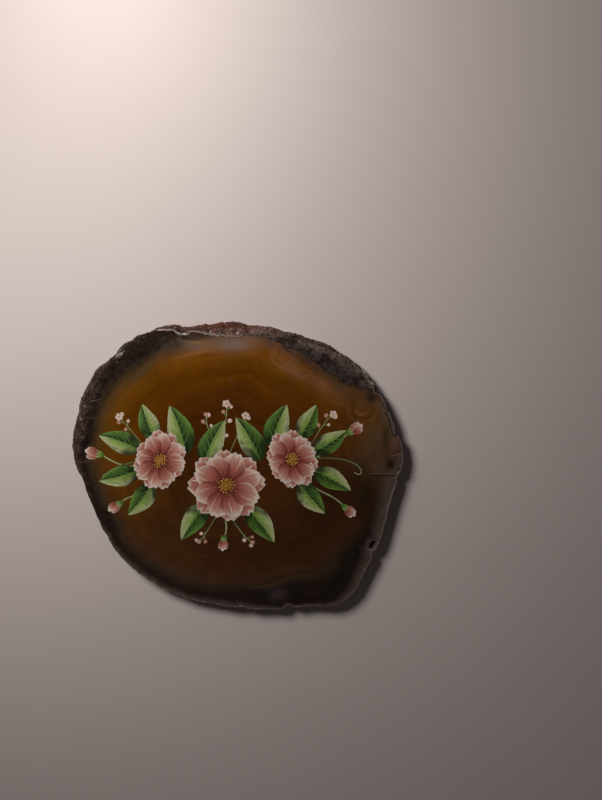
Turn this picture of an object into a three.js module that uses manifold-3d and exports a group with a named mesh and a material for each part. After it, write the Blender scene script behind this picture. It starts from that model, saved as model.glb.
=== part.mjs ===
// Painted agate slice: one slab sawn from a quartz nodule, lying on its back with the polished face up.
// Millimetres, +Z up. The origin is on the surface that the slab rests on, under the middle of its outline.
// +Y is the top of the slab as it is looked at. The paint is only colour, so it isn't in the solid.

import * as THREE from "three";
import { ImprovedNoise } from "three/addons/math/ImprovedNoise.js";
import { mergeVertices } from "three/addons/utils/BufferGeometryUtils.js";
import Module from "manifold-3d";

const THICKNESS = 6.5;

// The polished face's broad outline, anticlockwise from the right-hand shoulder.
const FACE_OUTLINE = [
  [62.5, 2.6], [62.1, 6.6], [61.2, 9.8], [59.3, 11.9], [59.0, 14.8], [57.6, 18.8],
  [53.6, 26.6], [48.4, 33.4], [40.2, 40.4], [29.5, 45.2], [18.0, 48.0], [7.5, 48.9],
  [-5.3, 48.3], [-14.0, 50.0], [-24.0, 50.6], [-32.0, 50.3], [-39.0, 46.6], [-46.0, 41.2],
  [-51.4, 33.6], [-55.8, 24.0], [-59.2, 12.0], [-60.3, 1.5], [-58.2, -7.5], [-54.0, -19.0],
  [-49.6, -29.0], [-42.0, -38.7], [-31.5, -46.9], [-18.5, -52.4], [-3.0, -55.4], [13.0, -56.3],
  [26.7, -55.1], [37.2, -54.7], [43.4, -50.5], [48.4, -41.5], [53.4, -31.0], [56.5, -21.2],
  [59.3, -9.8], [61.9, -2.0],
];

// How far the rind stands outside the face at the back of the slab, by direction from the middle.
// The nodule's wall slants: it spreads at the left and the top, and is undercut at the right.
const SPREAD = [
  { at: 4, mm: -1.0 }, { at: 18, mm: -0.4 }, { at: 30, mm: 1.0 }, { at: 46, mm: 0.8 },
  { at: 58, mm: 2.1 }, { at: 70, mm: 2.8 }, { at: 82, mm: 4.2 }, { at: 93, mm: 6.4 },
  { at: 98, mm: 6.0 }, { at: 104, mm: 3.7 }, { at: 111, mm: 1.5 }, { at: 117, mm: 2.2 },
  { at: 123, mm: 0.9 }, { at: 133, mm: 1.5 }, { at: 139, mm: 1.0 }, { at: 148, mm: 4.3 },
  { at: 163, mm: 4.6 }, { at: 173, mm: 4.4 }, { at: 180, mm: 2.9 }, { at: 186, mm: 1.1 },
  { at: 210, mm: 0.2 }, { at: 250, mm: -0.8 }, { at: 290, mm: -1.4 }, { at: 330, mm: -1.8 },
];

// Bites out of the polished edge, by direction from the middle. They close towards the back.
const NICKS = [
  { at: 28.2, halfWidth: 2.4, depth: 1.3 },
  { at: -4.4, halfWidth: 1.4, depth: 1.1 },
  { at: -33.4, halfWidth: 1.7, depth: 1.5 },
  { at: -71.2, halfWidth: 2.3, depth: 1.5 },
  { at: 112.3, halfWidth: 2.2, depth: 1.9 },
  { at: 137.4, halfWidth: 2.4, depth: 1.6 },
];
const NICK_CLOSES_AT = 0.8;

// Natural hollows, each an egg-shaped bite: its middle, its half-sizes and its turn about Z.
const HOLLOWS = [
  { x: 51.2, y: -31.2, z: THICKNESS, radii: [1.0, 1.95, 2.6], turn: -28 },
  { x: 52.9, y: 28.2, z: THICKNESS - 0.2, radii: [0.9, 1.5, 1.1], turn: 32 },
  { x: -60.2, y: 9.6, z: THICKNESS - 0.9, radii: [1.1, 0.9, 1.0], turn: 0 },
  { x: -3.2, y: 52.6, z: THICKNESS - 3.2, radii: [2.3, 1.1, 1.2], turn: 8 },
  { x: 12.4, y: 51.4, z: THICKNESS - 2.6, radii: [1.5, 0.9, 1.0], turn: -14 },
];
const HOLLOW_DETAIL = 3;
const HOLLOW_LUMPS = { across: 2, push: 0.16 };

// The rind's own roughness: how far lumps of each size push it in and out.
const LUMPS = [
  { size: 7.0, push: 0.75 },
  { size: 3.0, push: 0.5 },
  { size: 1.5, push: 0.25 },
];
const EDGE_ROUGHNESS = 0.4;
const BULGE = 0.5;
const BACK_ARRIS = 0.5;

const STATIONS = 320;
// Levels of the rind, as shares of the way from the polished face to the sawn back.
const LEVELS = [0, 0.05, 0.15, 0.29, 0.44, 0.6, 0.77, 0.92, 1];

const wasm = await Module();
wasm.setup();
const noise = new ImprovedNoise();

function turnBetween(a, b) {
  return ((((a - b) % 360) + 540) % 360) - 180;
}

// The rind's spread in one direction, eased from one stop to the next.
function spreadAt(degrees) {
  const direction = THREE.MathUtils.euclideanModulo(degrees - SPREAD[0].at, 360) + SPREAD[0].at;
  const after = SPREAD.findIndex((stop) => stop.at > direction);
  const low = SPREAD.at(after === -1 ? -1 : after - 1);
  const high = after === -1 ? { at: SPREAD[0].at + 360, mm: SPREAD[0].mm } : SPREAD[after];
  const share = THREE.MathUtils.smoothstep(direction, low.at, high.at);
  return THREE.MathUtils.lerp(low.mm, high.mm, share);
}

function nickAt(degrees) {
  let depth = 0;
  for (const nick of NICKS) {
    const away = Math.abs(turnBetween(degrees, nick.at)) / nick.halfWidth;
    depth += nick.depth * (1 - THREE.MathUtils.smoothstep(away, 0, 1));
  }
  return depth;
}

function lumpsAt(point) {
  let push = 0;
  for (const lump of LUMPS) {
    push += lump.push * noise.noise(point.x / lump.size, point.y / lump.size, point.z / lump.size);
  }
  return push;
}

// One point of the rind: a station of the outline, moved outwards by what its level asks for.
function rindPoint(station, outwards, degrees, level) {
  const roundness = Math.sin(Math.PI * level);
  const flare = spreadAt(degrees) * Math.sin((Math.PI / 2) * level);
  const nick = nickAt(degrees) * (1 - THREE.MathUtils.smoothstep(level, 0, NICK_CLOSES_AT));
  const arris = BACK_ARRIS * THREE.MathUtils.smoothstep(level, LEVELS.at(-2), 1);
  const point = station.clone().addScaledVector(outwards, flare + BULGE * roundness - nick - arris);
  point.z = THICKNESS * (1 - level);
  const roughness = THREE.MathUtils.lerp(EDGE_ROUGHNESS, 1, roundness);
  return point.addScaledVector(outwards, roughness * lumpsAt(point));
}

// The slab before its hollows: rings of the rind from face to back, closed by two flat faces.
function slabGeometry() {
  const anchors = FACE_OUTLINE.map(([x, y]) => new THREE.Vector3(x, y, 0));
  const outline = new THREE.CatmullRomCurve3(anchors, true, "centripetal");
  const stations = outline.getSpacedPoints(STATIONS).slice(0, STATIONS);
  const rings = LEVELS.map((level) =>
    stations.map((station, i) => {
      const along = outline.getTangentAt(i / STATIONS);
      const outwards = new THREE.Vector3(along.y, -along.x, 0).normalize();
      const degrees = THREE.MathUtils.radToDeg(Math.atan2(station.y, station.x));
      return rindPoint(station, outwards, degrees, level);
    }),
  );
  const index = [];
  for (let row = 0; row + 1 < LEVELS.length; row += 1) {
    for (let i = 0; i < STATIONS; i += 1) {
      const next = (i + 1) % STATIONS;
      const [a, b] = [row * STATIONS + i, row * STATIONS + next];
      const [c, d] = [a + STATIONS, b + STATIONS];
      index.push(a, c, d, a, d, b);
    }
  }
  const lastRing = (LEVELS.length - 1) * STATIONS;
  for (const [a, b, c] of THREE.ShapeUtils.triangulateShape(rings[0], [])) {
    index.push(a, b, c);
  }
  for (const [a, b, c] of THREE.ShapeUtils.triangulateShape(rings.at(-1), [])) {
    index.push(lastRing + a, lastRing + c, lastRing + b);
  }
  const geometry = new THREE.BufferGeometry().setFromPoints(rings.flat());
  return geometry.setIndex(index);
}

// A lumpy egg, for cutting one hollow.
function hollowGeometry({ x, y, z, radii, turn }) {
  const egg = new THREE.IcosahedronGeometry(1, HOLLOW_DETAIL);
  const places = egg.attributes.position;
  for (let i = 0; i < places.count; i += 1) {
    const place = new THREE.Vector3().fromBufferAttribute(places, i);
    const sample = new THREE.Vector3(x, y, z).addScaledVector(place, HOLLOW_LUMPS.across);
    place.multiplyScalar(1 + HOLLOW_LUMPS.push * noise.noise(...sample));
    places.setXYZ(i, place.x, place.y, place.z);
  }
  return egg.scale(...radii).rotateZ(THREE.MathUtils.degToRad(turn)).translate(x, y, z);
}

function toSolid(geometry) {
  const bare = geometry.clone();
  bare.deleteAttribute("normal");
  bare.deleteAttribute("uv");
  const merged = mergeVertices(bare);
  return new wasm.Manifold(
    new wasm.Mesh({
      numProp: 3,
      vertProperties: new Float32Array(merged.attributes.position.array),
      triVerts: new Uint32Array(merged.index.array),
    }),
  );
}

function fromSolid(solid) {
  const { vertProperties, triVerts } = solid.getMesh();
  const geometry = new THREE.BufferGeometry();
  geometry.setAttribute("position", new THREE.BufferAttribute(vertProperties, 3));
  geometry.setIndex(new THREE.BufferAttribute(triVerts, 1));
  return geometry;
}

function agateSlice() {
  let solid = toSolid(slabGeometry());
  for (const hollow of HOLLOWS) {
    solid = solid.subtract(toSolid(hollowGeometry(hollow)));
  }
  const geometry = fromSolid(solid);
  geometry.computeBoundingBox();
  const middle = geometry.boundingBox.getCenter(new THREE.Vector3());
  geometry.translate(-middle.x, -middle.y, 0);
  geometry.computeVertexNormals();
  const stone = new THREE.MeshStandardMaterial({ color: 0x5c3516, roughness: 0.18, metalness: 0 });
  const mesh = new THREE.Mesh(geometry, stone);
  mesh.name = "agate_slice";
  return mesh;
}

const slice = new THREE.Group();
slice.add(agateSlice());

export default slice;
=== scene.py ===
"""Looks of a painted agate slice: fine stone, banded face, rough rind and a brushed flower garland.

The slice lies on its sawn back with the painted face up. Lengths are in millimetres, in the frame's own
axes (+X to the right, +Y to the top, +Z out of the painted face), until a mesh is made in metres.
Colours are linear RGB.
"""

import math

import bpy
import numpy as np
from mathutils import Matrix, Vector, geometry, kdtree, noise
from mathutils.bvhtree import BVHTree


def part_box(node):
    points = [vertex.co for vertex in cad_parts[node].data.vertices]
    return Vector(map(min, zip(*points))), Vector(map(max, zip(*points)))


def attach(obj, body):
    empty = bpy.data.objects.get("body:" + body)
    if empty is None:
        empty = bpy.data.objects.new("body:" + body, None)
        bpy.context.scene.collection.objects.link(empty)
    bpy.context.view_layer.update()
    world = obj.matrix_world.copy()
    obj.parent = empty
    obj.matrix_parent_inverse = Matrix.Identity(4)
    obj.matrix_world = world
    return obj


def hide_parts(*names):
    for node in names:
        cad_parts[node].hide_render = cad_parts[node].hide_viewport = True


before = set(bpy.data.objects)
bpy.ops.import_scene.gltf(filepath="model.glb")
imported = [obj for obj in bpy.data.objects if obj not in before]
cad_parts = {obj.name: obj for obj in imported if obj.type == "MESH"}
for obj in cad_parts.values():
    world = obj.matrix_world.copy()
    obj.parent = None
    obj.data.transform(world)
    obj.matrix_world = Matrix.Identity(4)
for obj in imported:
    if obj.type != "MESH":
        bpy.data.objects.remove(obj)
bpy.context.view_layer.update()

MM = 0.001
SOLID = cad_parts["agate_slice"]
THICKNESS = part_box("agate_slice")[1].z / MM

# Camera: the photograph's frame and viewing angle, seen from above because the slice lies down.
PHOTO_SIZE = (602, 800)
FOCAL_PIXELS = 602
SENSOR = 36
CLIP_START = 0.01
VIEW_TILT = math.radians(4.2)
CAMERA_AT = (24.84, 41.94, 231.72)

# Light: two warm soft lamps at the upper left, and a weak fill from the lower right.
WARM = (1, 0.87, 0.82)
KEY = {"at": (-117, 150, 208), "aim": (-25, -20, 0), "size": 95, "power": 0.445, "colour": WARM}
SECOND = {"at": (-61, 197, 104), "aim": (34, 260, 0), "size": 60, "power": 0.1, "colour": WARM}
FILL = {"at": (260, -330, 150), "aim": (0, 0, 0), "size": 260, "power": 0.03, "colour": (1, 0.82, 0.77)}
WORLD_COLOUR = (1, 0.75, 0.69)
WORLD_STRENGTH = 0.02
FLOOR_COLOUR = (0.79, 0.772, 0.765)
FLOOR_LIGHT_COLOUR = (0.81, 0.79, 0.783)
FLOOR_HALF = 2500
FLOOR_DROP = 0.02
FLOOR_ROUGHNESS = 0.7

# Fine mesh: stations round the rind, levels down it, and the spacing of the points inside both faces.
STATIONS = 1500
LEVELS = 25
LEVEL_EASE = 1.25
SKIN = 0.01
REACH = 200
FACE_SPACING = 0.56
BACK_SPACING = 2.4
BACK_INSET = 0.8
NEAR_RIM = ((0.35, 2), (0.85, 3))
HOLLOW_SPACING = 0.2
HOLLOW_MARGIN = 1
HOLLOW_TEST = 0.5
ON_FACE = 0.01
WELD = 1e-6
SHARP_ANGLE = math.radians(38)
# The order of the stone's materials.
POLISHED, RIND, SAWN = range(3)


def smooth(value, low=0, high=1):
    share = np.clip((value - low) / (high - low), 0, 1)
    return share * share * (3 - 2 * share)


def mix(a, b, share):
    """Colours a and b, mixed point by point."""
    share = np.asarray(share)[..., None]
    return a * (1 - share) + np.asarray(b) * share


def ramp(value, stops):
    """A colour for each value, from (value, colour) stops."""
    at, colours = zip(*stops)
    return np.stack([np.interp(value, at, channel) for channel in zip(*colours)], -1)


def sampled(pattern, points, size, offset=0):
    """A pattern's value at each point, where the pattern is stretched to that size."""
    flat = (np.asarray(points) / size + offset).reshape(-1, 3).tolist()
    return np.array([pattern(point) for point in flat]).reshape(np.shape(points)[:-1])


def noise_at(points, size, offset=0):
    """Smooth noise from about -1 to 1, with lumps of that size."""
    return sampled(noise.noise, points, size, offset)


def cells_at(points, size):
    """Distance to the nearest cell middle, in cells of that size: 0 at a middle, about 1 far from all."""
    return sampled(lambda point: noise.voronoi(point)[0][0], points, size)


def by_direction(stops, degrees):
    """A value for each direction from the slice's middle, between (degrees, value) stops."""
    at, values = zip(*stops)
    return np.interp(degrees, at, values, period=360)


def direction_of(points):
    return np.degrees(np.arctan2(points[..., 1], points[..., 0])) % 360


def give(mesh, name, values):
    """Stores one number, vector or colour for each vertex of a mesh."""
    values = np.asarray(values, np.float32)
    kind, key = ("FLOAT", "value") if values.ndim == 1 else ("FLOAT_VECTOR", "vector")
    if name.endswith("colour"):
        kind, key = "FLOAT_COLOR", "color"
        values = np.insert(values, 3, 1, 1)
    mesh.attributes.new(name, kind, "POINT").data.foreach_set(key, values.ravel())


def nearest(points):
    """A search tree over points."""
    found = kdtree.KDTree(len(points))
    for i, point in enumerate(points):
        found.insert(point, i)
    found.balance()
    return found


def piece_from(name, points, faces):
    """A new object from points in millimetres."""
    mesh = bpy.data.meshes.new(name)
    mesh.from_pydata((np.asarray(points) * MM).tolist(), [], faces)
    piece = bpy.data.objects.new(name, mesh)
    bpy.context.scene.collection.objects.link(piece)
    return piece


# Camera

def add_camera():
    data = bpy.data.cameras.new("camera")
    data.sensor_width = SENSOR
    data.lens = FOCAL_PIXELS * SENSOR / max(PHOTO_SIZE)
    data.clip_start = CLIP_START
    camera = bpy.data.objects.new("camera", data)
    camera.location = Vector(CAMERA_AT) * MM
    camera.rotation_euler = (-VIEW_TILT, 0, 0)
    bpy.context.scene.collection.objects.link(camera)
    bpy.context.scene.camera = camera


# Fine stone: where its points are

# The size and the depth of each kind of bite, lump and crystal.
EDGE_BITES = ((0.9, 0.16), (2.6, 0.42), (6.5, 0.5))
BITE_START = 0.1
# How far down the rind a bite reaches: at least, and as a multiple of its depth.
BITE_HEIGHT = (0.25, 1.5)
RELIEF = ((3.4, 0.55), (1.5, 0.4), (0.7, 0.22))
CRYSTALS = ((1.3, 0.35), (0.6, 0.16))
RELIEF_FADE = 0.7


def solid_tree():
    mesh = SOLID.data
    corners = [vertex.co / MM for vertex in mesh.vertices]
    return BVHTree.FromPolygons(corners, [tuple(face.vertices) for face in mesh.polygons])


def sampled_rings(tree):
    """The solid's rind as rings of points, from the polished face down to the sawn back."""
    depths = THICKNESS * np.linspace(0, 1, LEVELS) ** LEVEL_EASE
    rings = np.empty((LEVELS, STATIONS, 3))
    for level, depth in enumerate(depths):
        height = min(max(THICKNESS - depth, SKIN), THICKNESS - SKIN)
        for station in range(STATIONS):
            turn = math.tau * station / STATIONS
            outwards = Vector((math.cos(turn), math.sin(turn), 0))
            hit = tree.ray_cast(outwards * REACH + Vector((0, 0, height)), -outwards)[0]
            rings[level, station] = hit.x, hit.y, THICKNESS - depth
    return rings


def outward_normals(rings):
    along = np.roll(rings, -1, 1) - np.roll(rings, 1, 1)
    down = np.gradient(rings, axis=0)
    across = np.cross(down, along)
    return across / np.linalg.norm(across, axis=-1, keepdims=True)


def roughened(rings):
    """The rings with crystals and pits pressed into the rind, and small bites along the polished edge."""
    depth = THICKNESS - rings[..., 2]
    inwards = -rings * (1, 1, 0)
    inwards /= np.linalg.norm(inwards, axis=-1, keepdims=True)
    relief = sum(most * (0.5 - noise_at(rings, size)) for size, most in RELIEF) / 2
    relief += sum(most * cells_at(rings, size) for size, most in CRYSTALS)
    relief *= smooth(depth, 0, RELIEF_FADE) * smooth(rings[..., 2], -RELIEF_FADE, RELIEF_FADE)
    pushed = rings - outward_normals(rings) * relief[..., None] * (1, 1, 0)
    edge = rings[:1] * (1, 1, 0)
    bite = sum(most * smooth(noise_at(edge, size, size), BITE_START, 1) for size, most in EDGE_BITES)
    reach = BITE_HEIGHT[0] + BITE_HEIGHT[1] * bite
    return pushed + inwards * (bite * (1 - smooth(depth, 0, 1) ** 0.5 * smooth(depth / reach)))[..., None]


def ring_radius(ring, points):
    """How far the ring is from the middle, in the direction of each point."""
    return np.interp(direction_of(points), direction_of(ring), np.hypot(*ring[:, :2].T), period=360)


def grid_within(ring, spacing, inset):
    """Points of a triangular grid that lie at least an inset inside a ring."""
    rows = np.arange(-REACH / 2, REACH / 2, spacing * math.sqrt(0.75))
    columns = np.arange(-REACH / 2, REACH / 2, spacing)
    grid = np.array([(x + spacing / 2 * (row % 2), y, 0) for row, y in enumerate(rows) for x in columns])
    return grid[ring_radius(ring, grid) - np.hypot(*grid[:, :2].T) > inset]


def height_at(tree, points):
    """Where a drop straight down meets the solid: the face, or the floor of a hollow."""
    hits = [tree.ray_cast(Vector((x, y, REACH)), Vector((0, 0, -1)))[0] for x, y, _ in points]
    return np.array([THICKNESS if hit is None else hit.z for hit in hits])


def inside_face(tree, ring):
    """Points inside the face: rows that follow the rim, an even grid, and a finer one in the hollows."""
    rows = []
    for inset, step in NEAR_RIM:
        row = ring[::step] * (1, 1, 0)
        rows.append(row * (1 - inset / np.linalg.norm(row, axis=-1, keepdims=True)))
    clear = NEAR_RIM[-1][0] + FACE_SPACING / 2
    test = grid_within(ring, HOLLOW_TEST, HOLLOW_TEST)
    sunk = test[height_at(tree, test) < THICKNESS - ON_FACE]
    hollows = nearest(sunk)
    even = grid_within(ring, FACE_SPACING, clear)
    even = even[[hollows.find(place)[2] > HOLLOW_MARGIN for place in even]]
    fine = grid_within(ring, HOLLOW_SPACING, clear)
    fine = fine[[hollows.find(place)[2] < HOLLOW_MARGIN for place in fine]]
    points = np.concatenate([*rows, even, fine])
    heights = height_at(tree, points)
    points[:, 2] = np.where(heights > THICKNESS - ON_FACE, THICKNESS, heights)
    return points


def filled(ring, inner):
    """Triangles over a ring and its inside, as indices into the ring's points, then the inner ones."""
    inside_only = 1
    flat = [Vector(point[:2]) for point in np.concatenate([ring, inner])]
    border = [(i, (i + 1) % len(ring)) for i in range(len(ring))]
    _, _, triangles, sources, _, _ = geometry.delaunay_2d_cdt(flat, border, [], inside_only, WELD)
    return [[sources[corner][0] for corner in triangle] for triangle in triangles]


def stone_mesh():
    """The fine stone's points and faces, the material of each face, and the polished face's ring."""
    tree = solid_tree()
    rings = roughened(sampled_rings(tree))
    face_inner = inside_face(tree, rings[0])
    back_inner = grid_within(rings[-1], BACK_SPACING, BACK_INSET)
    points = np.concatenate([rings.reshape(-1, 3), face_inner, back_inner])
    faces, kinds = [], []
    for level in range(LEVELS - 1):
        for station in range(STATIONS):
            after = (station + 1) % STATIONS
            a, b = level * STATIONS + station, level * STATIONS + after
            faces.append((a, a + STATIONS, b + STATIONS, b))
            kinds.append(RIND)
    last_ring = (LEVELS - 1) * STATIONS
    face_first = LEVELS * STATIONS
    back_first = face_first + len(face_inner)
    sides = ((POLISHED, 0, face_first, face_inner), (SAWN, last_ring, back_first, back_inner))
    for kind, start, inner_start, inner in sides:
        for triangle in filled(points[start:start + STATIONS], inner):
            corners = [start + i if i < STATIONS else inner_start + i - STATIONS for i in triangle]
            faces.append(tuple(corners if kind == POLISHED else reversed(corners)))
            kinds.append(kind)
    return points, faces, kinds, rings[0]


# Fine stone: its colours

# Depth of the dark margin inside the polished edge, by direction from the middle, in degrees.
# The first amber band grew along its inner side.
MARGIN = (
    (0, 1.5), (15, -1.5), (22, -1), (28, 1), (33, 5), (38, 7.4), (48, 7.8), (53, 6.4), (60, 4.2),
    (68, 1.4), (76, -2), (92, -1.5), (104, 1), (112, 5), (120, 8), (135, 9.2), (150, 6), (165, 4.5),
    (180, 4.6), (192, 6), (203, 6.6), (212, 5), (225, 4.9), (240, 5.6), (255, 6.6), (270, 8.4),
    (285, 9.6), (300, 12.4), (314, 13), (328, 9.5), (340, 5), (352, 2.8),
)
BAND_STEP = 0.25
BAND_EASE = 10
# Painted light: how brightly the amber glows, by direction, full at the top and none at the bottom. It is
# partly the stone's own zoning and partly light shining through the stone.
PAINTED_GLOW = (
    (0, 0), (15, 0.36), (30, 0.45), (45, 0.54), (60, 0.5), (75, 1), (92, 1), (105, 0.84), (118, 0.35),
    (130, 0), (345, 0),
)
# How golden the rest is, by direction: it is at the left, and cocoa brown elsewhere.
GOLD = ((20, 0.3), (40, 0.6), (100, 1), (165, 1), (195, 0.6), (222, 0), (345, 0))
# Painted shade: how much of its colour the stone keeps, by direction: less at the lower right.
PAINTED_STONE_SHADE = ((10, 1), (250, 1), (268, 0.82), (285, 0.7), (315, 0.72), (340, 0.58), (354, 0.72))
# Depth of the lumpy grey rock between the edge and the amber.
ROCK = (
    (6, -2), (12, 1), (18, 1.5), (25, 1), (28.5, -0.6), (30.5, 2), (33, 5), (38, 7.6), (48, 7.7),
    (53, 6.4), (60, 4.4), (68, 2.8), (76, 1.4), (84, 0), (100, -0.6), (108, -2),
)
# Width of the smoky grey strip along the edge.
SMOKE = (
    (0, 3), (8, 0.6), (100, 0.5), (125, 0.05), (198, 0.05), (208, 1.3), (225, 2), (245, 1.8), (262, 2),
    (278, 1.8), (290, 0.8), (300, 1), (312, 3), (328, 3.8), (345, 4.2), (355, 5.4),
)

# How far the rind's crust reaches over the polished face.
CRUST = (
    (110, -2), (122, 0.2), (130, 0.8), (150, 1.3), (164, 1.2), (176, 1.3), (188, 0.8), (196, 0),
    (206, -2),
)

# The amber's colours, from the margin inwards: where it glows with painted light, where it is golden, and
# elsewhere.
MARGIN_COLOUR = (0.0255, 0.0175, 0.0138)
SMOKE_COLOUR = (0.128, 0.098, 0.085)
PAINTED_GLOW_RAMP = (
    (-2.6, MARGIN_COLOUR), (0, (0.085, 0.056, 0.029)), (2.2, (0.25, 0.12, 0.038)),
    (4.8, (0.27, 0.104, 0.017)), (8, (0.19, 0.07, 0.0035)), (13, (0.165, 0.058, 0.0012)),
    (17, (0.15, 0.051, 0.001)), (21, (0.12, 0.037, 0.0012)), (28, (0.088, 0.027, 0.002)),
)
GOLDEN = (
    (-2.6, MARGIN_COLOUR), (-0.4, (0.05, 0.034, 0.017)), (1.6, (0.086, 0.047, 0.014)),
    (4.5, (0.15, 0.064, 0.005)), (8, (0.15, 0.055, 0.0015)), (13, (0.145, 0.049, 0.001)),
    (19, (0.128, 0.041, 0.001)), (28, (0.09, 0.028, 0.002)),
)
COCOA = (
    (-2.6, MARGIN_COLOUR), (0, (0.052, 0.034, 0.02)), (2.6, (0.084, 0.04, 0.019)),
    (5, (0.088, 0.036, 0.013)), (10, (0.077, 0.03, 0.0095)), (27, (0.073, 0.029, 0.0085)),
)
# The size and the push of each warp of the bands.
WARPS = ((26, 1.5), (9, 0.8), (3.5, 0.25))
# Towards the middle, the painted glow by direction gives way to one that grows from the bottom to the top.
CENTRE_RADIUS = (14, 34)
PAINTED_CENTRE_GLOW = (-26, 24)

# Knobs of rock that the bands grew round: the middle, and how far growth had come there.
KNOBS = (
    ((47.6, 24.6), 2.4), ((38.6, 29.6), 1.6), ((26.9, 38.2), 3), ((18, 41.8), 3), ((54, 11), 1),
    ((39, -38), -2), ((24, -46.5), -2.4), ((3, -49.5), -2.4),
)
KNOB_BLEND = 1.3

# Soft patches of another colour: middle, half-sizes, turn, colour and strength.
PATCHES = (
    ((-23, 45.6), (7.4, 3.2), 8, (0.085, 0.062, 0.042), 0.75),
    ((-32, 44), (8, 2.4), 30, (0.017, 0.011, 0.0105), 0.55),
    ((-17.5, 48.2), (4, 1.1), 4, (0.032, 0.024, 0.021), 0.85),
    ((-14.5, 45.4), (5, 1.4), -8, (0.185, 0.16, 0.14), 0.55),
    ((-1, 46.4), (7.5, 2.6), 0, (0.262, 0.205, 0.172), 0.95),
    ((10.5, 47.4), (5.5, 1.3), -3, (0.2, 0.12, 0.078), 0.6),
    ((-14, 46.9), (6, 0.5), -7, (0.36, 0.215, 0.095), 0.55),
    ((-13.5, 43.3), (8, 0.55), 15, (0.33, 0.17, 0.055), 0.5),
    ((-12, 41.8), (9, 0.6), 10, (0.15, 0.048, 0.002), 0.5),
    ((-34.5, 36), (8, 1.3), 42, (0.11, 0.076, 0.04), 0.45),
    ((-46.4, 35.9), (4, 2.6), 52, (0.026, 0.016, 0.012), 0.7),
    ((13.5, 46), (4.6, 1.3), -24, (0.12, 0.062, 0.048), 0.75),
    ((20.2, 43.9), (3.6, 2), -35, (0.078, 0.055, 0.048), 0.9),
    ((28, 39.6), (3.2, 1.9), -35, (0.07, 0.047, 0.041), 0.9),
    ((18.1, 41.3), (2.2, 0.9), 6, (0.25, 0.092, 0.001), 1),
    ((18.4, 42), (0.9, 1.1), 0, (0.21, 0.074, 0.001), 0.9),
    ((25.8, 37.4), (2.2, 0.9), 4, (0.24, 0.088, 0.001), 1),
    ((26, 38.2), (0.9, 1.2), 0, (0.2, 0.07, 0.001), 0.9),
    ((20.4, 38.8), (1.6, 0.8), -40, (0.12, 0.04, 0.001), 0.7),
    ((21.5, 36.6), (6.5, 2), -30, (0.26, 0.118, 0.052), 0.8),
    ((33, 31.4), (5, 2.6), -35, (0.255, 0.118, 0.055), 0.8),
    ((40.5, 25.6), (3.4, 2.4), -50, (0.215, 0.096, 0.04), 0.6),
    ((38.6, 30.6), (4.5, 0.9), -30, (0.12, 0.078, 0.042), 0.6),
    ((22.5, 40.2), (1.6, 2.2), 0, (0.12, 0.062, 0.04), 0.6),
    ((29.8, 37.2), (0.8, 2.6), 12, (0.09, 0.036, 0.018), 0.7),
    ((53, 24), (2.4, 2), 0, (0.24, 0.13, 0.066), 0.7),
    ((57, 18.6), (1.9, 6.5), 20, (0.165, 0.12, 0.076), 0.85),
    ((53, 9), (6, 9.5), 0, (0.102, 0.07, 0.036), 0.75),
    ((57.6, -13), (2.3, 12), -15, (0.165, 0.128, 0.112), 0.5),
    ((46.2, 2.5), (4.2, 4.5), 0, (0.1, 0.062, 0.028), 0.5),
    ((45, 13), (0.55, 5.5), 2, (0.105, 0.036, 0.004), 0.6),
    ((42.4, 14), (1.2, 6), 0, (0.15, 0.066, 0.01), 0.4),
    ((57, 8.2), (1.2, 5.5), 0, (0.062, 0.046, 0.024), 0.8),
    ((60.4, 9.4), (1.6, 2.8), 0, (0.15, 0.108, 0.076), 0.85),
    ((54.6, -0.6), (3.4, 2.6), 0, (0.125, 0.096, 0.062), 0.6),
    ((61.4, 1.4), (2, 4), 0, (0.105, 0.076, 0.064), 0.75),
    ((51.7, 2), (0.45, 2.6), 0, (0.075, 0.042, 0.02), 0.55),
    ((58.6, 0.9), (1.7, 1.5), 0, (0.012, 0.008, 0.005), 0.95),
    ((49.5, -10), (4.6, 9), 0, (0.024, 0.016, 0.008), 0.9),
    ((56.7, 12), (0.8, 3), 10, (0.034, 0.027, 0.017), 0.6),
    ((54, 12.6), (1, 2.6), 0, (0.15, 0.106, 0.066), 0.5),
    ((54.4, 26), (1.4, 1.4), 0, (0.09, 0.044, 0.024), 0.7),
    ((51.3, 27.2), (2.9, 2.9), 20, (0.04, 0.031, 0.021), 1),
    ((51.5, 27), (1.6, 1.8), 0, (0.02, 0.012, 0.008), 0.9),
    ((15.7, -49.6), (3.6, 2.6), 8, (0.066, 0.054, 0.052), 0.75),
    ((36, -38.5), (7.5, 3.4), 40, (0.045, 0.033, 0.018), 0.5),
    ((41.2, -36.2), (1.5, 2.2), -20, (0.018, 0.012, 0.009), 0.85),
    ((29, -48.4), (3.6, 2), 8, (0.036, 0.02, 0.016), 0.7),
    ((-55.8, 9.7), (1.5, 1.4), 0, (0.01, 0.008, 0.007), 0.95),
    ((-57.6, 11.3), (0.55, 0.6), 0, (0.33, 0.3, 0.28), 0.9),
)
# Painted highlights glinting on glassy breaks along the edge: middle, half-sizes, turn and strength.
PAINTED_GLINTS = (
    ((-18.2, 49.9), (1.6, 0.42), 0, 0.9), ((-16.2, 52.6), (2.2, 0.5), 8, 0.5),
    ((-9, 50.8), (0.5, 0.35), 0, 0.9), ((-4.4, 49.8), (0.35, 0.3), 0, 1),
    ((1.1, 50.4), (0.4, 0.4), 40, 1), ((-43, 42.6), (4.4, 2.1), 30, 0.54),
    ((48.9, 35.4), (3.6, 0.45), -50, 0.8), ((51.7, 31.7), (1.6, 0.55), -58, 0.8),
    ((54.4, 29.2), (1.7, 0.5), -62, 0.75), ((60.6, 9.6), (0.3, 1.2), 8, 0.45),
    ((51.2, -31.9), (0.6, 0.4), 0, 0.75), ((54.2, -27.9), (0.5, 0.9), -25, 0.5),
)
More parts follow.
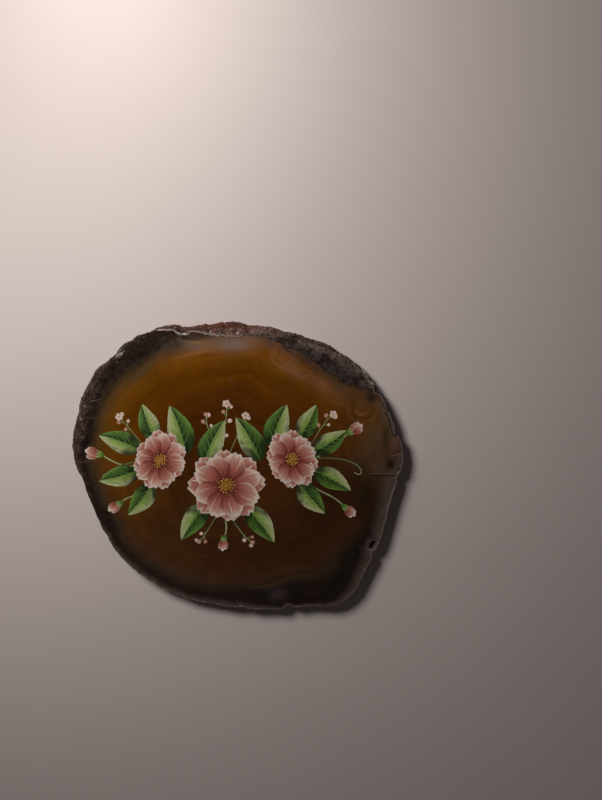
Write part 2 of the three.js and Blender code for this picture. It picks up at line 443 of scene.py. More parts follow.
# How chipped the polished edge is, by direction.
CHIPPING = (
    (0, 0.75), (12, 0.55), (26, 0.45), (31, 0.85), (39, 0.8), (46, 0.3), (60, 0.1), (85, 0.3), (100, 0.6),
    (118, 0.5), (135, 0.15), (150, -0.25), (198, -0.25), (212, 0.35), (232, 0.7), (250, 0.45), (265, 0.4),
    (282, 0.45), (300, 0.3), (330, 0.8), (350, 0.9),
)
# How clearly pale wisps show between the bands, by direction.
WISPS = (
    (0, 0), (20, 0.4), (60, 1), (120, 1), (160, 0.5), (200, 0.15), (240, 0.2), (275, 0.4), (320, 0.4),
)
# How mottled the dark margin is, by direction.
MOTTLING = ((0, 0.6), (100, 0.9), (185, 0.9), (205, 0.2), (280, 0.15), (330, 0.3))

# Rings that the bands make round the eye at the right: middle, radius, width, colour and strength.
EYE = (47.9, 22.4)
RINGS = (
    (EYE, 0, 1.8, (0.195, 0.082, 0.012), 0.8), ((48.3, 24), 1.2, 0.5, (0.26, 0.125, 0.05), 0.45),
    (EYE, 2.4, 0.7, (0.28, 0.138, 0.058), 0.6), (EYE, 3.9, 0.8, (0.115, 0.04, 0.002), 0.9),
    (EYE, 5.4, 0.6, (0.2, 0.098, 0.04), 0.5), (EYE, 6.6, 0.5, (0.115, 0.042, 0.004), 0.5),
    ((18.3, 41.9), 2.5, 0.4, (0.1, 0.034, 0.006), 0.5),
    ((18.3, 41.9), 4, 0.7, (0.27, 0.125, 0.048), 0.45), ((26, 38), 2.3, 0.4, (0.1, 0.034, 0.006), 0.5),
    ((26, 38), 3.7, 0.7, (0.27, 0.125, 0.048), 0.45), ((52.1, -30), 2.1, 0.45, (0.18, 0.138, 0.116), 0.6),
)
# How rings waver, and how much fainter they are towards the side where they open.
RING_WAVER = {"size": 3, "push": 1.2}
RING_OPENS_AT = 60
RING_STRENGTH = 0.6
RING_FADE = 0.4

# How the borders of the smoky strip and of the rock waver, in millimetres.
LUMPINESS = {"size": 2.2, "smoke": 0.5, "rock": 1.3}
# How far the smoke fades, as a multiple of its strip's width, and how strong it is at the edge.
SMOKE_REACH = 1.5
SMOKE_STRENGTH = 0.85
# Where each of these starts and is full, in millimetres.
ROCK_BORDER = (-0.8, 1)
BANDS_START = (-5, 1.5)
MARGIN_END = (-2, 2)
CRUST_BORDER = (-2.4, 2.4)


def distance_to(points, ring):
    """How far each point is from a ring, seen from above."""
    flat = nearest(ring * (1, 1, 0))
    return np.array([flat.find((x, y, 0))[2] for x, y, _ in points])


def eased(values, reach):
    """Values round a ring, each averaged with its neighbours up to that many steps away."""
    weights = np.hanning(2 * reach + 1)
    return np.convolve(np.tile(values, 3), weights / weights.sum(), "same")[len(values):2 * len(values)]


def first_band(ring):
    """The margin's inner side, as a ring of points."""
    degrees = np.arange(0, 360, BAND_STEP)
    rays = np.stack([np.cos(np.radians(degrees)), np.sin(np.radians(degrees)), 0 * degrees], 1)
    reach = ring_radius(ring, rays) - by_direction(MARGIN, degrees)
    return rays * eased(reach, round(BAND_EASE / BAND_STEP))[:, None]


def soft_least(a, b, blend):
    return -blend * np.logaddexp(-a / blend, -b / blend)


def growth_at(points, ring):
    """How far inside the dark margin the agate had grown when it laid down its band at each point."""
    band = first_band(ring)
    inside = ring_radius(band, points) > np.hypot(*points[:, :2].T)
    growth = distance_to(points, band) * np.where(inside, 1, -1)
    flat = points * (1, 1, 0)
    for size, push in WARPS:
        growth += push * noise_at(flat, size, size)
    for at, start in KNOBS:
        growth = soft_least(growth, np.hypot(*(points[:, :2] - at).T) + start, KNOB_BLEND)
    return growth


def spot(points, at, half, turn):
    """A soft spot: 1 at its middle, and less and less around it."""
    x, y = (points[:, :2] - at).T
    sine, cosine = math.sin(math.radians(turn)), math.cos(math.radians(turn))
    along = (x * cosine + y * sine) / half[0]
    across = (y * cosine - x * sine) / half[1]
    return np.exp(-(along**2 + across**2))


def ring_round(points, at, radius, width):
    """A wavering soft ring, fainter on the side where it opens."""
    x, y = (points[:, :2] - at).T
    away = np.hypot(x, y)
    waver = RING_WAVER["push"] * noise_at(points * (1, 1, 0), RING_WAVER["size"])
    away += waver * smooth(away, 0, radius + 1)
    opening = np.cos(np.arctan2(y, x) - math.radians(RING_OPENS_AT))
    return (RING_STRENGTH - RING_FADE * opening) * np.exp(-(((away - radius) / width) ** 2))


def stone_looks(points, ring):
    """The polished stone's colour and what its material needs to know at each point."""
    degrees = direction_of(points)
    edge = distance_to(points, ring)
    growth = growth_at(points, ring)
    radius = np.hypot(*points[:, :2].T)
    # Painted light shining through the amber, brightest towards the top, mixed with the stone's own
    # zoning.
    outer_glow = by_direction(PAINTED_GLOW, degrees)
    inner_glow = smooth(points[:, 1], *PAINTED_CENTRE_GLOW)
    towards_rim = smooth(radius, *CENTRE_RADIUS)
    glow = inner_glow * (1 - towards_rim) + outer_glow * towards_rim
    gold = inner_glow * (1 - towards_rim) + by_direction(GOLD, degrees) * towards_rim
    dim = mix(ramp(growth, COCOA), ramp(growth, GOLDEN), gold)
    colour = mix(dim, ramp(growth, PAINTED_GLOW_RAMP), glow)
    # Painted shade: the stone's colour darkened towards the lower right.
    shade = 1 + (by_direction(PAINTED_STONE_SHADE, degrees) - 1) * towards_rim
    colour *= shade[:, None]
    for at, half, turn, patch_colour, strength in PATCHES:
        colour = mix(colour, patch_colour, strength * spot(points, at, half, turn))
    for at, loop_radius, width, loop_colour, strength in RINGS:
        colour = mix(colour, loop_colour, strength * ring_round(points, at, loop_radius, width))
    lumps = noise_at(points * (1, 1, 0), LUMPINESS["size"])
    haze = 1 - smooth(edge + LUMPINESS["smoke"] * lumps, 0, SMOKE_REACH * by_direction(SMOKE, degrees))
    colour = mix(colour, SMOKE_COLOUR, SMOKE_STRENGTH * haze)
    glints = [strength * spot(points, at, half, turn) for at, half, turn, strength in PAINTED_GLINTS]
    rock = smooth(by_direction(ROCK, degrees) + LUMPINESS["rock"] * lumps - edge, *ROCK_BORDER)
    return {
        "stone_colour": colour,
        "growth": growth,
        "banding": smooth(growth, *BANDS_START) * (1 - rock),
        "margin": (1 - smooth(growth, *MARGIN_END)) * by_direction(MOTTLING, degrees),
        "rock": rock,
        "rock_depth": edge,
        "crust": smooth(by_direction(CRUST, degrees) - edge, *CRUST_BORDER),
        "chipping": by_direction(CHIPPING, degrees),
        "wisps": by_direction(WISPS, degrees),
        "glint": np.max(glints, 0),
    }


# Rind: dark at the left, greyer at the top right, and rusty brown low down at the top.
RIND_PALE = (
    (0, 0.5), (30, 0.5), (50, 0.3), (62, 0.35), (75, 0.75), (85, 1.1), (96, 1.2), (104, 0.8), (116, 0.4),
    (130, 0.22), (150, 0.3), (165, 0.32), (190, 0.3), (230, 0.2), (270, 0.3), (320, 0.5),
)
RIND_DARK_COLOUR = (0.019, 0.0115, 0.009)
RIND_PALE_COLOUR = (0.15, 0.098, 0.078)
RUST_COLOUR = (0.115, 0.04, 0.025)
RUST = ((78, 0), (86, 1), (106, 1), (113, 0))
# How strongly the rind is speckled, by direction.
SPECKLING = ((45, 0.6), (70, 0.5), (92, 0.62), (110, 0.7), (135, 1), (360, 1))


# Pale crusts: the size and the share of each noise, and how pale they are. The lower rind is paler with
# painted light bouncing up onto it.
CRUST_NOISES = ((3.4, 1), (1.2, 0.7))
CRUST_PALENESS = (0.25, 1.3)
CRUST_EDGE = (-0.5, 0.5)
PAINTED_BOUNCE_LIGHT = 0.75
BOUNCE_LIT_DEPTHS = (1.6, 6)
PALEST = 1.3
RUST_WAVER = {"size": 3, "push": 1.2}
RUST_DEPTH = (1.2, 2.8)
RUST_STRENGTH = 0.9


def rind_looks(points):
    """The rind's colour, and how speckled it is, at each point."""
    degrees = direction_of(points)
    depth = THICKNESS - points[:, 2]
    crust = smooth(sum(share * noise_at(points, size) for size, share in CRUST_NOISES), *CRUST_EDGE)
    pale = by_direction(RIND_PALE, degrees) * (CRUST_PALENESS[0] + CRUST_PALENESS[1] * crust)
    # Painted bounce light: the rind is paler low down.
    pale = np.clip(pale + PAINTED_BOUNCE_LIGHT * smooth(depth, *BOUNCE_LIT_DEPTHS), 0, PALEST)
    colour = mix(np.tile(RIND_DARK_COLOUR, (len(points), 1)), RIND_PALE_COLOUR, pale)
    low = smooth(depth + RUST_WAVER["push"] * noise_at(points, RUST_WAVER["size"]), *RUST_DEPTH)
    return {
        "rind_colour": mix(colour, RUST_COLOUR, RUST_STRENGTH * low * by_direction(RUST, degrees)),
        "speckling": by_direction(SPECKLING, degrees),
    }


# Materials

AGATE_IOR = 1.54
RIND_GLOSS = 0.1
# The middle of a coloured noise, and a factor that drops a place's height.
MIDDLE = (0.5, 0.5, 0.5)
FLAT = (1, 1, 0)

# Each noise: the size of its lumps in millimetres, its detail and its roughness.
GRAINS = {
    "mottle": (2, 5, 0.7), "rock clouds": (2.6, 4, 0.5), "rock grit": (0.62, 3, 0.7),
    "rock patches": (5, 2, 0.5), "pits": (1, 4, 0.7), "grain patches": (4, 2, 0.5),
    "chips": (1.3, 4, 0.6), "glints": (0.8, 4, 0.65), "speckle": (0.8, 4, 0.7),
    "speck patches": (2.6, 2, 0.5), "rock border": (1.6, 3, 0.5), "crust border": (1.8, 4, 0.7),
    "dust patches": (9, 2, 0.5), "ripple": (9, 1, 0.5), "wear": (6, 5, 0.7), "rind": (0.5, 4, 0.5),
    "saw": (0.4, 3, 0.5), "floor": (30, 5, 0.5),
}
# How far apart the middles of each kind of cell are, in millimetres.
CELLS = {
    "rock lumps": 3.4, "rock grains": 1, "rind specks": 1.6, "rind crystals": 0.9, "chip facets": 0.8,
    "dust": 2.6,
}
# Where each effect starts, and where it is full. Distances on the wisps and the rock are in millimetres.
STEPS = {
    "rock inwards": (0.3, 4.8), "rock outline": (0.42, 0.8), "rock patches": (0.38, 0.58),
    "pits": (0.52, 0.62), "rock grains": (0.1, 0.26), "grain patches": (0.45, 0.6), "chips": (0.54, 0.64),
    "glints": (0.38, 0.72), "rind specks": (0.16, 0.32), "speck patches": (0.46, 0.58),
    "rock border": (0.15, 0.85), "fringe": (0.4, 0.6), "crust border": (0.15, 0.95),
    "dust": (0.035, 0.075), "dust patches": (0.42, 0.6), "wear": (0.3, 0.75), "sawn rock": (0.3, 0.7),
    "wisps": (0.55, 0.75), "wisps fade": (3, 12),
    "crack floor": ((THICKNESS - 1.4) * MM, (THICKNESS - 0.5) * MM),
}
# How strong each effect is.
GAINS = {
    "mottle": 1.7, "rock clouds": 0.6, "rock grit": 2.2, "rock outline": 0.85, "pits": 0.7,
    "rock grains": 0.55, "chips": 0.75, "rind chips": 0.6, "chipping": 0.3, "chip depth": 0.36,
    "glints": 0.45, "speckle": 3.2, "rind specks": 0.8, "rock border": 0.35, "fringe": 3.2,
    "crust border": 1.2, "dust": 0.2, "wisps": 0.3, "lines_to_draw": 0.8, "pitted": 0.3, "saw": 0.5,
}
# The least that noise leaves of a colour.
DARKEST = {"stone": 0.15, "rock": 0.2, "rind": 0.12}
# How deep each relief is, in millimetres.
RELIEFS = {"ripple": 0.02, "polished": 0.12, "rind": 0.25, "saw": 0.03, "paint": 0.05}


class Value:
    """An output of a shader node. Arithmetic with it and its methods add the nodes that they need."""

    def __init__(self, socket):
        self.socket = socket
        self.tree = socket.id_data

    def node(self, kind, inputs, output=0, **settings):
        """A new node's output. Each of its inputs is a constant or another value."""
        made = self.tree.nodes.new(kind)
        for name, value in settings.items():
            setattr(made, name, value)
        for name, value in inputs.items():
            if isinstance(value, Value):
                self.tree.links.new(value.socket, made.inputs[name])
            else:
                made.inputs[name].default_value = value
        return Value(made.outputs[output])

    def maths(self, operation, a, b):
        return self.node("ShaderNodeMath", {0: a, 1: b}, operation=operation)

    def __add__(self, other):
        return self.maths("ADD", self, other)

    def __sub__(self, other):
        return self.maths("SUBTRACT", self, other)

    def __rsub__(self, other):
        return self.maths("SUBTRACT", other, self)

    def __mul__(self, other):
        return self.maths("MULTIPLY", self, other)

    def at_least(self, least):
        return self.maths("MAXIMUM", self, least)

    def at_most(self, most):
        return self.maths("MINIMUM", self, most)

    def between(self, low, high):
        """0 below low and 1 above high, smoothly."""
        inputs = {"Value": self, "From Min": low, "From Max": high}
        return self.node("ShaderNodeMapRange", inputs, interpolation_type="SMOOTHSTEP")

    def step(self, name):
        return self.between(*STEPS[name])

    def swing(self, gain):
        """Noise turned into a change of up to about gain either way."""
        return (self - 0.5) * (2 * gain)

    def blend(self, a, b):
        """Colour a where this is 0, and colour b where it is 1."""
        a, b = (value if isinstance(value, Value) else (*value, 1) for value in (a, b))
        return self.node("ShaderNodeMix", {0: self, 6: a, 7: b}, 2, data_type="RGBA")

    def vector(self, operation, other, output=0):
        return self.node("ShaderNodeVectorMath", {0: self, 1: other}, output, operation=operation)

    def scaled(self, factor):
        return self.node("ShaderNodeVectorMath", {0: self, "Scale": factor}, operation="SCALE")

    def axis(self, index):
        return self.node("ShaderNodeSeparateXYZ", {0: self}, index)

    def noise(self, scale, detail=2, roughness=0.5, output="Fac"):
        inputs = {"Vector": self, "Scale": scale, "Detail": detail, "Roughness": roughness}
        return self.node("ShaderNodeTexNoise", inputs, output)

    def grain(self, name):
        """One of the noises, where this is a place in metres."""
        size, detail, roughness = GRAINS[name]
        return self.noise(1 / (size * MM), detail, roughness)

    def change(self, name):
        """One of the noises as a change of up to about its gain either way."""
        return self.grain(name).swing(GAINS[name])

    def patches(self, name):
        """1 in patches and 0 between them, from one of the noises."""
        return self.grain(name).step(name)

    def cells(self, name):
        """The distance to the nearest cell's middle, where this is a place in metres."""
        inputs = {"Vector": self, "Scale": 1 / (CELLS[name] * MM)}
        return self.node("ShaderNodeTexVoronoi", inputs, "Distance")

    def specks(self, name):
        """1 round the middles of one kind of cell, and 0 between them."""
        return 1 - self.cells(name).step(name)

    def shaken(self, size, reach, detail):
        """This place moved about by noise with lumps of a size, both in millimetres."""
        wave = self.noise(1 / (size * MM), detail, output="Color").vector("SUBTRACT", MIDDLE)
        return self.vector("ADD", wave.scaled(reach * MM))

    def attribute(self, name, output="Fac"):
        return self.node("ShaderNodeAttribute", {}, output, attribute_name=name)

    def bump(self, relief, strength=1, normal=None):
        """A normal bent by this height."""
        inputs = {"Strength": strength, "Distance": RELIEFS[relief] * MM, "Height": self}
        if normal is not None:
            inputs["Normal"] = normal
        return self.node("ShaderNodeBump", inputs)


def new_material(name):
    """A material, its shader, and the place on the piece as a value."""
    material = bpy.data.materials.new(name)
    material.use_nodes = True
    nodes = material.node_tree.nodes
    return material, nodes["Principled BSDF"], Value(nodes.new("ShaderNodeTexCoord").outputs["Object"])


def connect(shader, **inputs):
    """Sets inputs of a shader, each to a constant on its own socket or to a value."""
    for name, value in inputs.items():
        socket = shader.inputs[name.replace("_", " ")]
        if isinstance(value, Value):
            value.tree.links.new(value.socket, socket)
        else:
            socket.default_value = value


# Healed cracks: where each starts and ends, its width and its colour.
CRACKS = (
    ((-57.6, 24.2), (-50.6, 25.6), 0.22, (0.19, 0.155, 0.13)),
    ((-60.4, 18.6), (-53.4, 18.7), 0.16, (0.12, 0.098, 0.084)),
    ((-60.8, 1.3), (-55, 2.2), 0.18, (0.15, 0.12, 0.104)),
    ((50.8, -2.5), (59.7, -2.7), 0.3, (0.15, 0.112, 0.084)),
    ((52, -3.2), (60.9, -3.4), 0.42, (0.014, 0.009, 0.008)),
    ((59, 4.1), (63, 5), 0.3, (0.24, 0.19, 0.15)), ((59.7, 5.3), (63.4, 6.5), 0.26, (0.02, 0.014, 0.011)),
)
# How cracks and the painted highlight line waver, and where they fade, in halves of their width.
CRACK_WAVER = {"size": 2.2, "reach": 0.35, "detail": 2}
CRACK_CORE = 0.4
CRACK_FADE = 1.8
# Painted highlight on the glassy line where the rim broke, at the top: its corners, and its width and
# colour between them.
GLASS_HIGHLIGHT = (0.8, 0.75, 0.71)
GLASS_HIGHLIGHT_CORNERS = (
    (-30.4, 52), (-27.4, 51.5), (-22.9, 51.8), (-20.9, 50.5), (-17.9, 50), (-15.8, 51.1), (-8.3, 49.9),
    (2, 49), (14, 49),
)
GLASS_HIGHLIGHT_LOOKS = (
    (0.42, GLASS_HIGHLIGHT), (0.34, GLASS_HIGHLIGHT), (0.46, GLASS_HIGHLIGHT), (0.5, GLASS_HIGHLIGHT), (0.34, (0.45, 0.4, 0.36)),
    (0.26, (0.45, 0.38, 0.33)), (0.2, (0.36, 0.29, 0.24)), (0.2, (0.24, 0.18, 0.15)),
)
GLASS_HIGHLIGHT_PARTS = [(*ends, *look) for *ends, look in zip(GLASS_HIGHLIGHT_CORNERS, GLASS_HIGHLIGHT_CORNERS[1:], GLASS_HIGHLIGHT_LOOKS)]


def near_line(place, start, end, width):
    """1 on a line and 0 beyond its width."""
    start, end = (Vector((*corner, 0)) * MM for corner in (start, end))
    ahead = (end - start).normalized()
    away = place.vector("SUBTRACT", start)
    along = away.vector("DOT_PRODUCT", ahead, 1).at_least(0).at_most((end - start).length)
    foot = place.node("ShaderNodeVectorMath", {0: ahead, "Scale": along}, operation="SCALE")
    half = width * MM / 2
    return 1 - away.vector("DISTANCE", foot, 1).between(CRACK_CORE * half, CRACK_FADE * half)


def with_lines(place, colour, lines_to_draw):
    """The colour with each line drawn on it: healed cracks, and the painted highlight along the glassy
    break.
    """
    flat = place.vector("MULTIPLY", FLAT).shaken(**CRACK_WAVER).vector("MULTIPLY", FLAT)
    opacity = place.axis(2).step("crack floor") * GAINS["lines_to_draw"]
    for start, end, width, line_colour in lines_to_draw:
        colour = (near_line(flat, start, end, width) * opacity).blend(colour, line_colour)
    return colour


# Growth bands along a line that drifts as it goes, and clouds: the size and the gain of each.
BANDS = ((0.7, 0.1), (2, 0.24), (5.4, 0.3))
BAND_DETAIL = 1
BAND_DRIFT = 0.035
CLOUDS = ((16, 0.35), (5, 0.22))
CLOUD_DETAIL = 3
WISP_SIZE = 1.5
WISP_COLOUR = (0.3, 0.15, 0.062)


def banded(place):
    """The stone's own colour with its growth bands, clouds and wisps."""
    growth = place.attribute("growth")
    banding = place.attribute("banding")
    drift = [place.axis(axis) * (BAND_DRIFT / MM) for axis in (0, 1)]
    line = place.node("ShaderNodeCombineXYZ", {0: growth, 1: drift[0], 2: drift[1]})
    change = 0
    for size, gain in BANDS:
        change = line.noise(1 / size, BAND_DETAIL).swing(gain) + change
    change = change * banding
    for size, gain in CLOUDS:
        change = change + place.noise(1 / (size * MM), CLOUD_DETAIL).swing(gain)
    change = change + place.change("mottle") * place.attribute("margin")
    colour = place.attribute("stone_colour", "Color").scaled((change + 1).at_least(DARKEST["stone"]))
    wisps = line.noise(1 / WISP_SIZE).step("wisps") * banding * GAINS["wisps"]
    wisps = wisps * (1 - growth.step("wisps fade")) * place.attribute("wisps")
    return wisps.blend(colour, WISP_COLOUR)


ROCK_BEND = {"size": 2.4, "reach": 2.2, "detail": 3}
ROCK_OUTER = (0.15, 0.115, 0.1)
ROCK_INNER = (0.056, 0.048, 0.046)
ROCK_OUTLINE = (0.019, 0.013, 0.012)
ROCK_GRAIN = (0.3, 0.26, 0.23)


def rocky(place):
    """Cloudy grey lumps that darken inwards, with dark outlines, and the distance to their middles."""
    bent = place.shaken(**ROCK_BEND)
    lumps = bent.cells("rock lumps")
    colour = place.attribute("rock_depth").step("rock inwards").blend(ROCK_OUTER, ROCK_INNER)
    grit = place.change("rock clouds") + place.change("rock grit")
    colour = colour.scaled((grit + 1).at_least(DARKEST["rock"]))
    outline = lumps.step("rock outline") * place.patches("rock patches") * GAINS["rock outline"]
    colour = outline.blend(colour, ROCK_OUTLINE)
    # Dark pits: painted shade in the rock's small pits.
    colour = (bent.patches("pits") * GAINS["pits"]).blend(colour, ROCK_OUTLINE)
    grains = place.specks("rock grains") * place.patches("grain patches") * GAINS["rock grains"]
    return grains.blend(colour, ROCK_GRAIN), lumps


CHIP_COLOUR = (0.25, 0.205, 0.18)
# The colour of the painted glints.
PAINTED_GLINT_COLOUR = (0.72, 0.67, 0.62)
SPECK_COLOUR = (0.34, 0.26, 0.22)
DUST_COLOUR = (0.4, 0.32, 0.24)


def chipped(place):
    """1 where small chips have broken out of the polished edge."""
    ragged = place.grain("chips") + place.attribute("chipping") * GAINS["chipping"]
    return (ragged - place.attribute("rock_depth") * GAINS["chip depth"]).step("chips")


def glinting(place):
    """1 where a painted highlight glints on a glassy break of the edge."""
    return (place.attribute("glint") + place.change("glints")).step("glints")


def crusty(place):
    """The rind's colour: speckled, with pale grains here and there."""
    speckle = place.change("speckle") * place.attribute("speckling")
    colour = place.attribute("rind_colour", "Color").scaled((speckle + 1).at_least(DARKEST["rind"]))
    specks = place.specks("rind specks") * place.patches("speck patches") * GAINS["rind specks"]
    return specks.blend(colour, SPECK_COLOUR)


# The polished face's roughness, and what wear, chips and crust add to it.
POLISH = 0.09
WORN = 0.07
CHIPPED = 0.2
CRUSTED = 0.08


def stone_and_rock(place):
    """The polished stone's colour with its rock, how much of it is rock, and the rock's lumps."""
    rock, lumps = rocky(place)
    share = (place.attribute("rock") + place.change("rock border")).step("rock border")
    colour = share.blend(banded(place), rock)
    fringe = share * (1 - share) * GAINS["fringe"] * place.grain("grain patches").step("fringe")
    return fringe.blend(colour, ROCK_OUTLINE), share, lumps


def polished_material():
    material, shader, place = new_material("agate_polished")
    colour, share, lumps = stone_and_rock(place)
    crust = (place.attribute("crust") + place.change("crust border")).step("crust border")
    colour = with_lines(place, crust.blend(colour, crusty(place)), CRACKS)
    dust = place.specks("dust") * place.patches("dust patches") * GAINS["dust"]
    colour = dust.blend(colour, DUST_COLOUR)
    chip = chipped(place)
    colour = (chip * GAINS["chips"]).blend(colour, CHIP_COLOUR)
    # Painted highlights where the edge glints.
    colour = glinting(place).blend(colour, PAINTED_GLINT_COLOUR)
    ripple = place.grain("ripple").bump("ripple")
    relief = share * (1 - lumps) * GAINS["pitted"] + chip * place.cells("chip facets")
    roughness = place.patches("wear") * WORN + chip * CHIPPED + crust * CRUSTED + POLISH
    # The painted highlight line along the glassy break is drawn last.
    connect(shader, Base_Color=with_lines(place, colour, GLASS_HIGHLIGHT_PARTS), Roughness=roughness, IOR=AGATE_IOR)
    connect(shader, Normal=relief.bump("polished", normal=ripple))
    return material


# The rind's roughness, and what a glassy break takes off it.
RIND_ROUGHNESS = 0.62
GLINT_SMOOTHS = 0.35
CRYSTAL_HEIGHT = -0.5
RIND_BUMP = 0.9


def rind_material():
    material, shader, place = new_material("agate_rind")
    glint = glinting(place)
    colour = (chipped(place) * GAINS["rind chips"]).blend(crusty(place), CHIP_COLOUR)
    # Painted glints, then the painted highlight line along the glassy break.
    colour = with_lines(place, glint.blend(colour, PAINTED_GLINT_COLOUR), GLASS_HIGHLIGHT_PARTS)
    height = place.cells("rind crystals") * CRYSTAL_HEIGHT + place.grain("rind")
    connect(shader, Base_Color=colour, Roughness=RIND_ROUGHNESS - glint * GLINT_SMOOTHS)
    connect(shader, Normal=height.bump("rind", RIND_BUMP), IOR=AGATE_IOR, Specular_IOR_Level=RIND_GLOSS)
    return material


# The sawn back: ripples round the saw's axle, and how much paler and rougher it is than the polish.
SAW_MARK = 1.4
SAW_AXLE = (0.21, -0.05, 0)
SAW_WOBBLE = 0.6
SAWN_PALENESS = 1.25
SAWN_ROUGHNESS = 0.5


def sawn_material():
    material, shader, place = new_material("agate_sawn")
    share = place.attribute("rock").step("sawn rock")
    matt = share.blend(banded(place), rocky(place)[0]).scaled(SAWN_PALENESS)
    from_axle = place.vector("ADD", SAW_AXLE)
    inputs = {"Vector": from_axle, "Scale": 1 / (SAW_MARK * MM), "Distortion": SAW_WOBBLE}
    saw = place.node("ShaderNodeTexWave", inputs, "Fac", wave_type="RINGS", rings_direction="Z")
    height = saw * GAINS["saw"] + place.grain("saw")
    connect(shader, Base_Color=matt, Normal=height.bump("saw"), Roughness=SAWN_ROUGHNESS, IOR=AGATE_IOR)
    return material


def add_stone():
    points, faces, kinds, ring = stone_mesh()
    piece = piece_from("fine_agate_slice", points, faces)
    mesh = piece.data
    for material in (polished_material(), rind_material(), sawn_material()):
        mesh.materials.append(material)
    mesh.polygons.foreach_set("material_index", kinds)
    mesh.shade_smooth()
    mesh.set_sharp_from_angle(angle=SHARP_ANGLE)
    for name, values in (stone_looks(points, ring) | rind_looks(points)).items():
        give(mesh, name, values)
    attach(piece, "root")
    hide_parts("agate_slice")


# Paint: a garland of open flowers, each stroke a thin film with its own height

FILM = 0.03
LAYER = 0.002
SUNK = 0.01
THINNEST = 0.03
WOBBLE = {"size": 1.9, "push": 0.11, "apart": 7.3}
# Points along and across a comma-shaped stroke, a dab and a line.
COMMA_GRID = (22, 7)
DAB_GRID = (13, 7)
LINE_GRID = (40, 4)
# The share of a comma that its round head takes, how its tail thins, and how much a line thins.
HEAD = 0.3
TAIL_POWER = 0.8
THINNING = 0.55
DAB_CORE = 0.55
SEED = 11
BRUSH = np.random.default_rng(SEED)

WHITE = (0.86, 0.79, 0.7)
BLUSH = (0.7, 0.45, 0.36)
PINK = (0.55, 0.25, 0.195)
ROSE = (0.4, 0.12, 0.094)
WINE = (0.19, 0.036, 0.03)
THROAT = (0.075, 0.016, 0.011)
YELLOW = (0.78, 0.45, 0.07)
PALE_YELLOW = (0.88, 0.68, 0.3)
OCHRE = (0.36, 0.15, 0.02)
MINT = (0.52, 0.63, 0.34)
LIME = (0.4, 0.56, 0.16)
GREEN = (0.18, 0.37, 0.068)
FOREST = (0.052, 0.14, 0.023)
SHADE = (0.008, 0.02, 0.005)

# Open flowers: middle, radius, start of the first petal, how far each leans away and towards where.
FLOWERS = (
    ((-28.5, 2.5), 12, 12, 0.84, 155), ((21.5, 3), 11.8, 40, 0.84, 25), ((-3.5, -7), 14.6, 0, 0.95, 270),
)
PETALS = 8

# Leaves: where each starts, its direction, length, width and bend (its tip's swing to the left).
LEAVES = (
    ((-36, 6.5), 152, 16, 8.4, 2.4), ((-37, -1.5), 201, 15, 7.6, -1.6), ((-31.5, -6.5), 240, 15, 8, -2.2),
    ((-30, 10.5), 116, 14, 7.6, -1.6), ((-18.5, 5), 101, 19, 9.6, 2.4), ((-12, 1.5), 70, 18, 8.8, -2.2),
    ((9.5, 2.5), 112, 18.5, 9, 2.4), ((13.5, 7.5), 76, 17, 9.2, -2), ((24, 11), 56, 14, 7.4, 1.6),
    ((29.5, 6), 24, 14.5, 7.6, 2.2), ((30, -1.5), -22, 15.5, 7.8, -1.8), ((24.5, -6.5), -58, 14.5, 8, 2),
    ((-11, -14.5), 226, 16.5, 8.4, 2.4), ((4, -15.5), -44, 17, 8.4, -2.4),
)

# Buds: where each sits on its stem, its direction and length.
BUDS = (
    ((-50.3, 4.6), 168, 6.8), ((-43.5, -13.6), 215, 6), ((42.5, 12.8), 32, 6.6), ((41, -15), -42, 6),
    ((-4.5, -27), 262, 5.6),
)

# Stems and tendrils: control points of a smooth curve, and the width at its start.
STEMS = (
    (((-28, 3), (-40, -3), (-46, 2), (-50.3, 4.6)), 0.9),
    (((-28, 0), (-34, -12), (-40, -10), (-43.5, -13.6)), 0.8),
    (((22, 3), (30, 1), (37, 7), (42.5, 12.8)), 0.9), (((22, 0), (28, -10), (36, -9), (41, -15)), 0.8),
    (((-3, -8), (-6, -18), (-2, -22), (-4.5, -27)), 0.9),
    (((-32, 3), (-50, 1), (-54, -6), (-49, -7), (-50, -3)), 0.5),
    (((28, 3), (44, 5), (51, 0), (48, -5), (45, -2)), 0.5),
)

# Sprigs: control points of a thin stem, its number of side buds, and whether a tiny flower ends it.
SPRIGS = (
    (((-5, 0), (-7, 12), (-2, 17), (-3.2, 24)), 5, True),
    (((-6, 0), (-7, 10), (-11, 14), (-11, 20)), 3, False),
    (((-3, 0), (-2, 10), (3, 13), (4, 19.5)), 3, True),
    (((-33, 6), (-38, 13), (-41, 16), (-43.5, 19)), 4, True),
    (((27, 6), (31, 12), (33, 17), (37, 20)), 4, True),
    (((-4, -16), (1, -24), (3, -27), (6.5, -29)), 3, False),
    (((-5, -16), (-10, -22), (-11, -26), (-14, -29)), 3, False),
)


def heading(degrees):
    return np.array((math.cos(math.radians(degrees)), math.sin(math.radians(degrees))))


def curve(through, count):
    """A Bezier curve from its control points."""
    share = np.linspace(0, 1, count)[:, None]
    order = len(through) - 1
    weights = [math.comb(order, i) * share**i * (1 - share) ** (order - i) for i in range(order + 1)]
    return sum(weight * np.array(point, float) for weight, point in zip(weights, through))


def stroke(kind, plan, colour, length, width):
    """A brush stroke: its plan as a grid of points, along by across, with a colour for each."""
    seed = BRUSH.uniform(0, 100)
    rows, columns = plan.shape[:2]
    along, across = np.meshgrid(np.linspace(0, 1, rows), np.linspace(-0.5, 0.5, columns), indexing="ij")
    place = np.dstack([plan, np.full(plan.shape[:2], seed)])
    for axis in (0, 1):
        plan[..., axis] += WOBBLE["push"] * noise_at(place, WOBBLE["size"], WOBBLE["apart"] * axis)
    colour = np.broadcast_to(colour, (rows, columns, 3))
    brush = np.dstack([along * length, across * width, np.full(along.shape, seed)])
    return {"kind": kind, "plan": plan, "colour": colour, "brush": brush}


